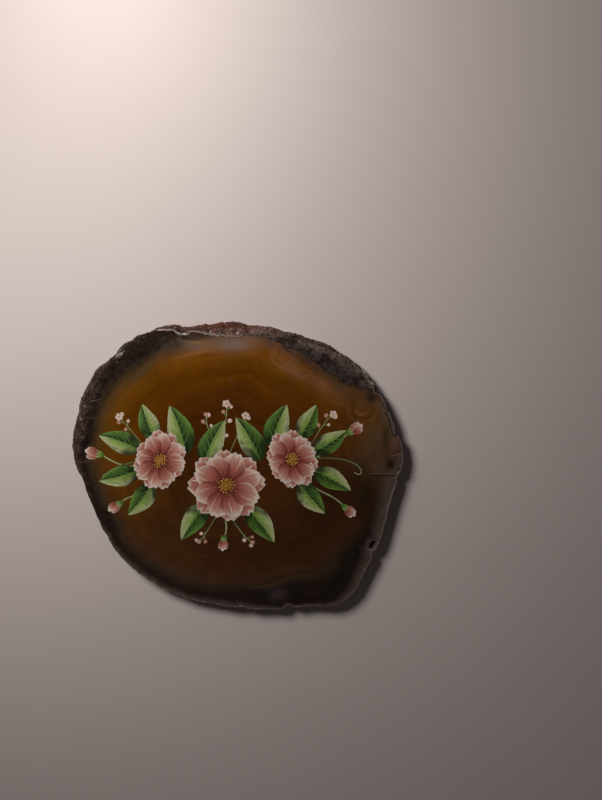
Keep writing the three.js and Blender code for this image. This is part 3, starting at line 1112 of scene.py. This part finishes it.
def ribbon(kind, spine, half_widths, colour, across):
    """A stroke along a spine."""
    ahead = np.gradient(spine, axis=0)
    ahead /= np.linalg.norm(ahead, axis=1, keepdims=True)
    left = np.stack([-ahead[:, 1], ahead[:, 0]], 1)
    half_widths = np.maximum(half_widths, THINNEST)
    side = np.linspace(-1, 1, across)[None, :, None]
    plan = spine[:, None] + left[:, None] * half_widths[:, None, None] * side
    length = np.linalg.norm(np.diff(spine, axis=0), axis=1).sum()
    return stroke(kind, plan, colour, length, 2 * half_widths.max())


def spine_of(at, turn, length, bend, count):
    """A spine that leaves a point in a direction and swings to the left by bend."""
    share = np.linspace(0, 1, count)[:, None]
    ahead = heading(turn)
    left = heading(turn + 90)
    return np.array(at) + ahead * length * share + left * bend * share**2


def comma(kind, at, turn, length, width, bend, stops):
    """A round-headed stroke that thins to a tail."""
    share = np.linspace(0, 1, COMMA_GRID[0])
    half = width / 2 * np.sqrt(np.clip(1 - (1 - share / HEAD) ** 2, 0, 1)) * (share < HEAD)
    half += width / 2 * (share >= HEAD) * np.cos((share - HEAD) / (1 - HEAD) * math.pi / 2) ** TAIL_POWER
    spine = spine_of(at, turn, length, bend, COMMA_GRID[0])
    return ribbon(kind, spine, half, ramp(share, stops)[:, None], COMMA_GRID[1])


def dab(kind, at, radius, colour, edge_colour=None):
    """A round dot of paint."""
    share, side = (np.linspace(-1, 1, count) for count in DAB_GRID)
    spine = np.array(at) + radius * share[:, None] * heading(BRUSH.uniform(0, 180))
    out = np.hypot(share[:, None], side * np.sqrt(1 - share[:, None] ** 2))
    shades = ramp(out, ((0, colour), (DAB_CORE, colour), (1, edge_colour or colour)))
    return ribbon(kind, spine, radius * np.sqrt(1 - share**2), shades, DAB_GRID[1])


def line(through, width, start_colour, end_colour, count=LINE_GRID[0]):
    """A stem's stroke, which thins towards its end."""
    share = np.linspace(0, 1, count)
    colour = ramp(share, ((0, start_colour), (1, end_colour)))[:, None]
    return ribbon("stems", curve(through, count), width / 2 * (1 - THINNING * share), colour, LINE_GRID[1])


# Paint: petals and flowers

# A petal's shape: notches in its tip, which rounds back at the sides, and its spread from base to tip.
PETAL_GRID = (30, 21)
NOTCHES = 3
NOTCH_DEPTH = 0.03
NOTCHED = (0.5, 1)
TIP_BACK = {"by": 0.2, "power": 2.2}
BASE_WIDTH = 0.22
WIDEST_AT = 0.72
NARROWS = {"from": 0.6, "by": 0.5}
# How much a petal bends, and its shading: lumps drawn out, a pale rim and tip, and a dark side.
PETAL_BEND = 0.06
SIDE_TONE = 0.13
PETAL_LUMPS = (1.2, 4)
RIM = {"across": (0.76, 0.98), "along": (0.3, 0.8), "ragged": 0.1, "strength": 0.7}
TIP = {"along": (0.88, 1), "slant": 0.06, "ragged": 0.12, "strength": 0.9}
DARK_SIDE = {"across": (0.62, 1), "along": (0.5, 0.97), "ragged": 0.1, "strength": 0.8}
PETAL_STOPS = ((0, THROAT), (0.2, WINE), (0.44, ROSE), (0.7, PINK), (0.87, BLUSH), (0.98, WHITE))
BACK_STOPS = ((0, THROAT), (0.3, WINE), (0.66, ROSE), (0.9, PINK), (1, BLUSH))
# A ring of petals: its reach and its petals' width, as shares of the flower's radius.
BACK_PETALS = (1, 0.74)
FRONT_PETALS = (0.93, 0.66)
PALER = 0.02
PETAL_STRAY = {"turn": (-4, 4), "length": (0.95, 1.04)}
# The streak of light on a petal: its width is in millimetres, and the rest are shares of the petal.
LIGHT = {"starts": 0.86, "aside": 0.16, "length": 0.42, "width": 0.7, "bend": 0.2}
LIGHT_STOPS = ((0, WHITE), (0.4, BLUSH), (1, PINK))

# A flower's centre: the eye's share of the flower's radius, and the dark rays round it. Places and lengths
# are in shares of the eye's radius, and widths and sizes in millimetres.
EYE_SIZE = 0.2
RAYS = {"step": 20, "stray": (-4, 4), "starts": 1.75, "length": 1.1, "width": 0.42}
RAY_STOPS = ((0, WINE), (1, THROAT))
# Rings of dots on the eye: how far out each is, its number of dots and their size.
DOT_RINGS = ((0.94, 13, 0.36), (0.58, 8, 0.34), (0.18, 3, 0.32))
SPARK = {"aside": (-0.07, 0.08), "size": 0.13}
DOT_STRAY = {"turn": (-9, 9), "out": (0.92, 1.1), "size": (0.8, 1.15)}
OUTER_DOTS = {"count": 11, "stray": (-12, 12), "out": (1.25, 1.55), "size": 0.2}


def petal_grid(length, width, bend):
    """A petal along +X from the origin, narrow at its base, with a broad notched tip."""
    along = np.linspace(0, 1, PETAL_GRID[0])[:, None]
    across = np.linspace(-1, 1, PETAL_GRID[1])[None]
    notch = NOTCH_DEPTH * (1 - np.cos(NOTCHES * math.pi * (across + 1))) * (1 - abs(across))
    reach = 1 - TIP_BACK["by"] * abs(across) ** TIP_BACK["power"] - notch * smooth(along, *NOTCHED)
    past = np.clip((along - NARROWS["from"]) / (1 - NARROWS["from"]), 0, 1)
    spread = BASE_WIDTH + (1 - BASE_WIDTH) * smooth(along, 0, WIDEST_AT)
    spread = spread * np.sqrt(1 - NARROWS["by"] * past**2)
    x = length * along * reach
    y = width / 2 * across * spread + bend * along**2
    return np.dstack([x, y + 0 * x]), along, across


def dragged(along, across, lumps_along, lumps_across):
    """Noise from about -1 to 1 over a stroke's grid, drawn out in one direction."""
    places = np.broadcast_arrays(lumps_along * along, lumps_across * across, BRUSH.uniform(0, 50))
    return noise_at(np.stack(places, -1), 1)


def petal(turn, length, width, stops, shift):
    """A petal from the origin, shaded from its dark base to its pale tip, with one side paler."""
    bend = BRUSH.uniform(-PETAL_BEND, PETAL_BEND) * length
    plan, along, across = petal_grid(length, width, bend)
    tone = along + SIDE_TONE * across * np.sin(math.pi * along) + shift
    colour = ramp(tone, stops)
    drag = dragged(along, across, *PETAL_LUMPS)
    rim = smooth(abs(across) + RIM["ragged"] * drag, *RIM["across"]) * smooth(along, *RIM["along"])
    tip = smooth(along + TIP["slant"] * across + TIP["ragged"] * drag, *TIP["along"])
    pale = RIM["strength"] * rim * (across > 0) + TIP["strength"] * tip
    dark = smooth(DARK_SIDE["ragged"] * drag - across, *DARK_SIDE["across"])
    dark = dark * (1 - smooth(along, *DARK_SIDE["along"])) * DARK_SIDE["strength"]
    colour = mix(mix(colour, WHITE, np.clip(pale, 0, 1)), WINE, dark)
    ahead, left = heading(turn), heading(turn + 90)
    placed = plan[..., :1] * ahead + plan[..., 1:] * left
    return stroke("blossoms", placed, colour, length, width)


def leaned(made, at, lean, towards):
    """Foreshortens a stroke that was painted round the origin, and moves it to its flower."""
    away = heading(towards)
    out = made["plan"] @ away
    made["plan"] = made["plan"] + out[..., None] * (lean - 1) * away + np.array(at)
    return made


def petal_ring(radius, reach, width, start, stops, shift):
    """Petals round the origin, each with one streak of light beside its middle."""
    made = []
    for i in range(PETALS):
        turn = start + 360 / PETALS * i + BRUSH.uniform(*PETAL_STRAY["turn"])
        length = reach * radius * BRUSH.uniform(*PETAL_STRAY["length"])
        made.append(petal(turn, length, width * radius, stops, shift))
        side = BRUSH.permutation((-1, 1))[0]
        aside = side * width * radius * LIGHT["aside"]
        tail = heading(turn) * length * LIGHT["starts"] + heading(turn + 90) * aside
        size = (length * LIGHT["length"], LIGHT["width"], LIGHT["bend"] * side)
        made.append(comma("blossoms", tail, turn + 180, *size, LIGHT_STOPS))
    return made


def flower_centre(radius):
    """Dark strokes, a round eye, and rings of yellow dots on it."""
    made = []
    size = radius * EYE_SIZE
    for turn in np.arange(0, 360, RAYS["step"]):
        at = heading(turn + BRUSH.uniform(*RAYS["stray"])) * size * RAYS["starts"]
        made.append(comma("blossoms", at, turn + 180, size * RAYS["length"], RAYS["width"], 0, RAY_STOPS))
    made.append(dab("stamens", (0, 0), size, OCHRE, THROAT))
    for out, count, dot in DOT_RINGS:
        for i in range(count):
            turn = 360 / count * i + BRUSH.uniform(*DOT_STRAY["turn"])
            at = heading(turn) * out * size * BRUSH.uniform(*DOT_STRAY["out"])
            made.append(dab("stamens", at, dot * BRUSH.uniform(*DOT_STRAY["size"]), YELLOW, OCHRE))
            made.append(dab("stamens", at + np.array(SPARK["aside"]), SPARK["size"], PALE_YELLOW))
    for i in range(OUTER_DOTS["count"]):
        turn = 360 / OUTER_DOTS["count"] * i + BRUSH.uniform(*OUTER_DOTS["stray"])
        at = heading(turn) * size * BRUSH.uniform(*OUTER_DOTS["out"])
        made.append(dab("stamens", at, OUTER_DOTS["size"], YELLOW, OCHRE))
    return made


def open_flower(at, radius, turn, lean, towards):
    made = petal_ring(radius, *BACK_PETALS, turn, BACK_STOPS, 0)
    made += petal_ring(radius, *FRONT_PETALS, turn + 180 / PETALS, PETAL_STOPS, PALER)
    made += flower_centre(radius)
    return [leaned(one, at, lean, towards) for one in made]


# Paint: leaves, buds and sprigs

# A leaf's shape: teeth along its sides, and powers that set where it is widest and how full it is.
LEAF_GRID = (44, 19)
TEETH = 8
TOOTH = 0.05
TOOTHED = (0.15, 0.4)
LEAF_POWERS = (0.72, 0.8)
# Its shading: from the midrib outwards on each side, and by tone, which rises from its base to its tip.
LIGHT_SIDE = ((0, GREEN), (0.35, LIME), (0.8, MINT), (1, MINT))
SHADED_SIDE = ((0, SHADE), (0.45, FOREST), (1, GREEN))
LIT_FROM = 110
LEAF_LUMPS = (5, 1.6)
TONE = 0.3
BASE_SHADE = {"tone": (-0.12, 0.34), "strength": 0.93}
DARK_STREAKS = {"sweep": (0.1, 0.5), "tone": (0.3, 0.8), "strength": 0.6}
PALE_END = {"tone": (0.45, 0.95), "strength": 0.6}
# Its midrib, and the veins that leave it in pairs.
RIB_STOPS = ((0, FOREST), (0.35, GREEN), (0.7, LIME), (1, MINT))
RIB = {"width": 0.24, "thinning": 0.6}
VEINS = (0.22, 0.36, 0.5, 0.64)
VEIN = {"ahead": 0.14, "reach": 0.74, "bend": -0.3, "width": 0.1, "tip": 0.3, "points": 10, "across": 3}
VEIN_TURN = 38
VEIN_LIGHT = (0.2, 0.37, 0.1)


def leaf_colour(along, across, lit_side):
    """The colour over a leaf's grid, light on one side of its midrib and dark on the other."""
    light = ramp(abs(across), LIGHT_SIDE)
    dark = ramp(abs(across), SHADED_SIDE)
    colour = mix(dark, light, across * lit_side > 0)[None] * np.ones((len(along), 1, 1))
    sweep = dragged(along, across, *LEAF_LUMPS)
    tone = along - TONE * abs(across) + TONE * sweep
    colour = mix(colour, SHADE, BASE_SHADE["strength"] * (1 - smooth(tone, *BASE_SHADE["tone"])))
    streaks = smooth(sweep, *DARK_STREAKS["sweep"]) * (1 - smooth(tone, *DARK_STREAKS["tone"]))
    colour = mix(colour, FOREST, DARK_STREAKS["strength"] * streaks)
    pale = PALE_END["strength"] * smooth(tone, *PALE_END["tone"])
    return mix(colour, MINT, pale * (across * lit_side > 0))


def leaf(at, turn, length, width, bend):
    """A broad pointed leaf with toothed sides, a midrib and veins."""
    rows, columns = LEAF_GRID
    along = np.linspace(0, 1, rows)
    spine = spine_of(at, turn, length, bend, rows)
    teeth = 1 + TOOTH * np.mod(-TEETH * along, 1) * smooth(along, *TOOTHED)
    half = width / 2 * np.sin(math.pi * along ** LEAF_POWERS[0]) ** LEAF_POWERS[1] * teeth
    lit_side = 1 if math.cos(math.radians(turn - LIT_FROM)) * bend > 0 else -1
    colour = leaf_colour(along[:, None], np.linspace(-1, 1, columns), lit_side)
    made = [ribbon("leaves", spine, half, colour, columns)]
    rib_width = RIB["width"] * (1 - RIB["thinning"] * along)
    made.append(ribbon("leaves", spine, rib_width, ramp(along, RIB_STOPS)[:, None], LINE_GRID[1]))
    thinning = np.linspace(1, VEIN["tip"], VEIN["points"])
    for share in VEINS:
        start, ahead = (round(place * (rows - 1)) for place in (share, share + VEIN["ahead"]))
        vein_length = VEIN["reach"] * half[ahead] / math.sin(math.radians(VEIN_TURN))
        for side in (-1, 1):
            bend = side * VEIN["bend"]
            vein = spine_of(spine[start], turn + side * VEIN_TURN, vein_length, bend, VEIN["points"])
            shade = GREEN if side == lit_side else VEIN_LIGHT
            made.append(ribbon("leaves", vein, VEIN["width"] * thinning, np.array(shade), VEIN["across"]))
    return made


# Buds: folded petals in a green cup, with their directions, their reach and their shading.
FOLDED = ((-16, 0.9, BACK_STOPS), (16, 0.9, BACK_STOPS), (0, 1, PETAL_STOPS))
BUD_WIDTH = 0.42
BUD_PALER = 0.08
CUP_TURNS = (-30, 0, 30)
CUP = {"below": 0.8, "length": 0.5, "width": 1.1, "bend": -1 / 60}
CUP_STOPS = ((0, FOREST), (0.5, GREEN), (1, MINT))


def bud(at, turn, length):
    """A half-open bud: folded petals in a green cup."""
    made = []
    at = np.array(at)
    for side, reach, stops in FOLDED:
        placed = petal(turn + side, length * reach, length * BUD_WIDTH, stops, BUD_PALER)
        placed["plan"] = placed["plan"] + at
        made.append(placed)
    cup = at - heading(turn) * CUP["below"]
    for side in CUP_TURNS:
        size = (length * CUP["length"], CUP["width"], CUP["bend"] * side)
        made.append(comma("leaves", cup, turn + side, *size, CUP_STOPS))
    return made


# A tiny flower: the degrees between its petals, how far out they are, and the sizes of petals and eye.
TINY = {"step": 72, "out": 0.85, "petal": 0.7, "eye": 0.33}


def tiny_flower(at):
    """A tiny five-petalled flower."""
    made = []
    start = BRUSH.uniform(0, TINY["step"])
    for turn in np.arange(start, start + 360, TINY["step"]):
        made.append(dab("blossoms", at + TINY["out"] * heading(turn), TINY["petal"], WHITE, BLUSH))
    made.append(dab("stamens", at, TINY["eye"], YELLOW, OCHRE))
    return made


# A sprig: points along its stem, its outermost bud's place, how far apart the buds are, and their sizes.
SPRIG = {"points": 60, "last": 0.95, "apart": 0.13, "turn": (34, 52), "stalk": 2.1, "thin": 0.8}
SPRIG_WIDTH = 0.42
SPRIG_BUDS = (0.62, 0.85)
TIP_BUD = 0.8


def sprig(through, buds, flower):
    """A thin stem with stalked round buds on alternate sides, and a tiny flower or a bud at its tip."""
    made = [line(through, SPRIG_WIDTH, FOREST, MINT)]
    spine = curve(through, SPRIG["points"])
    for i in range(buds):
        place = round((SPRIG["points"] - 1) * (SPRIG["last"] - SPRIG["apart"] * (i + 0.5)))
        ahead = spine[place + 1] - spine[place]
        side, colours = (1, (BLUSH, ROSE)) if i % 2 else (-1, (WHITE, BLUSH))
        turn = math.degrees(math.atan2(ahead[1], ahead[0])) + side * BRUSH.uniform(*SPRIG["turn"])
        end = spine[place] + SPRIG["stalk"] * heading(turn)
        made.append(line((spine[place], end), SPRIG_WIDTH * SPRIG["thin"], GREEN, LIME, 6))
        made.append(dab("blossoms", end, BRUSH.uniform(*SPRIG_BUDS), *colours))
    if flower:
        return made + tiny_flower(spine[-1])
    return made + [dab("blossoms", spine[-1], TIP_BUD, BLUSH, ROSE)]


def garland():
    """Every stroke of the garland with its layer. Motifs that don't overlap share their layers."""
    stems = [[line(*stem, FOREST, MINT)] for stem in STEMS]
    sprigs = [sprig(*entry) for entry in SPRIGS]
    leaves = [leaf(*entry) for entry in LEAVES]
    buds = [bud(*entry) for entry in BUDS]
    blossoms = [open_flower(*entry) for entry in FLOWERS]
    made = []
    first = 0
    for motifs in (stems, sprigs, leaves[::2], leaves[1::2], buds, blossoms):
        for motif in motifs:
            made += enumerate(motif, first)
        first += max(len(motif) for motif in motifs)
    return made


def border_of(rows, columns):
    """Indices round the edge of a grid."""
    grid = np.arange(rows * columns).reshape(rows, columns)
    return np.concatenate([grid[0, :-1], grid[:-1, -1], grid[-1, :0:-1], grid[:0:-1, 0]])


def film(made, layer, first):
    """Points, faces, colours and brush coordinates of one stroke, as a closed film of paint."""
    rows, columns = made["plan"].shape[:2]
    top = THICKNESS + FILM + layer * LAYER
    plan = made["plan"].reshape(-1, 2)
    border = border_of(rows, columns)
    points = np.concatenate([np.insert(plan, 2, top, 1), np.insert(plan[border], 2, THICKNESS - SUNK, 1)])
    faces = []
    for i in range(rows - 1):
        for j in range(columns - 1):
            a = i * columns + j
            faces.append((a, a + columns, a + columns + 1, a + 1))
    below = rows * columns + np.arange(len(border))
    for a, b, c, d in zip(border, np.roll(border, -1), np.roll(below, -1), below):
        faces.append((a, b, c, d))
    faces.append(tuple(below))
    x, y = plan[border].T
    if (x * np.roll(y, -1) - y * np.roll(x, -1)).sum() > 0:
        faces = [face[::-1] for face in faces]
    colours = made["colour"].reshape(-1, 3)
    brush = made["brush"].reshape(-1, 3)
    faces = [tuple(int(corner) + first for corner in face) for face in faces]
    return points, faces, *(np.concatenate([given, given[border]]) for given in (colours, brush))


# Brush marks: how much they are drawn out along and across the stroke, their detail and their gain.
STREAKS = {"stretch": (0.14, 3.4, 1), "detail": 3, "gain": 1.15}
SWEEPS = {"stretch": (0.22, 1.1, 1), "detail": 2, "gain": 0.6}
STREAK_LEVEL = 0.11
PAINT_ROUGHNESS = 0.36


def paint_material():
    material, shader, place = new_material("paint")
    brush = place.attribute("brush", "Vector")
    streaks = brush.vector("MULTIPLY", STREAKS["stretch"]).noise(1, STREAKS["detail"])
    sweeps = brush.vector("MULTIPLY", SWEEPS["stretch"]).noise(1, SWEEPS["detail"])
    change = streaks * STREAKS["gain"] + sweeps * SWEEPS["gain"] + STREAK_LEVEL
    colour = place.attribute("paint_colour", "Color").scaled(change)
    connect(shader, Base_Color=colour, Normal=streaks.bump("paint"), Roughness=PAINT_ROUGHNESS)
    return material


def add_paint():
    material = paint_material()
    films = {}
    for layer, made in garland():
        before = films.setdefault(made["kind"], [])
        before.append(film(made, layer, sum(len(points) for points, *_ in before)))
    for kind, parts in films.items():
        points, faces, colours, brush = zip(*parts)
        joined = [face for part in faces for face in part]
        piece = piece_from("painted_" + kind, np.concatenate(points), joined)
        piece.data.materials.append(material)
        give(piece.data, "paint_colour", np.concatenate(colours))
        give(piece.data, "brush", np.concatenate(brush))
        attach(piece, "root")


# Surroundings

def add_light(name, at, aim, size, power, colour):
    data = bpy.data.lights.new(name, "AREA")
    data.shape = "DISK"
    data.size = size * MM
    data.energy = power
    data.color = colour
    light = bpy.data.objects.new(name, data)
    light.location = Vector(at) * MM
    light.rotation_mode = "QUATERNION"
    light.rotation_quaternion = (Vector(aim) - Vector(at)).to_track_quat("-Z", "Y")
    bpy.context.scene.collection.objects.link(light)


def add_floor():
    signs = ((-1, -1), (1, -1), (1, 1), (-1, 1))
    corners = [(x * FLOOR_HALF, y * FLOOR_HALF, -FLOOR_DROP) for x, y in signs]
    floor = piece_from("floor", corners, [(0, 1, 2, 3)])
    material, shader, place = new_material("floor")
    tone = place.grain("floor").blend(FLOOR_COLOUR, FLOOR_LIGHT_COLOUR)
    connect(shader, Base_Color=tone, Roughness=FLOOR_ROUGHNESS)
    floor.data.materials.append(material)


def add_world():
    world = bpy.data.worlds.new("world")
    world.use_nodes = True
    background = world.node_tree.nodes["Background"]
    background.inputs["Color"].default_value = (*WORLD_COLOUR, 1)
    background.inputs["Strength"].default_value = WORLD_STRENGTH
    bpy.context.scene.world = world
    bpy.context.scene.view_settings.view_transform = "Standard"


add_camera()
add_stone()
add_paint()
add_floor()
add_light("key", **KEY)
add_light("second", **SECOND)
add_light("fill", **FILL)
add_world()
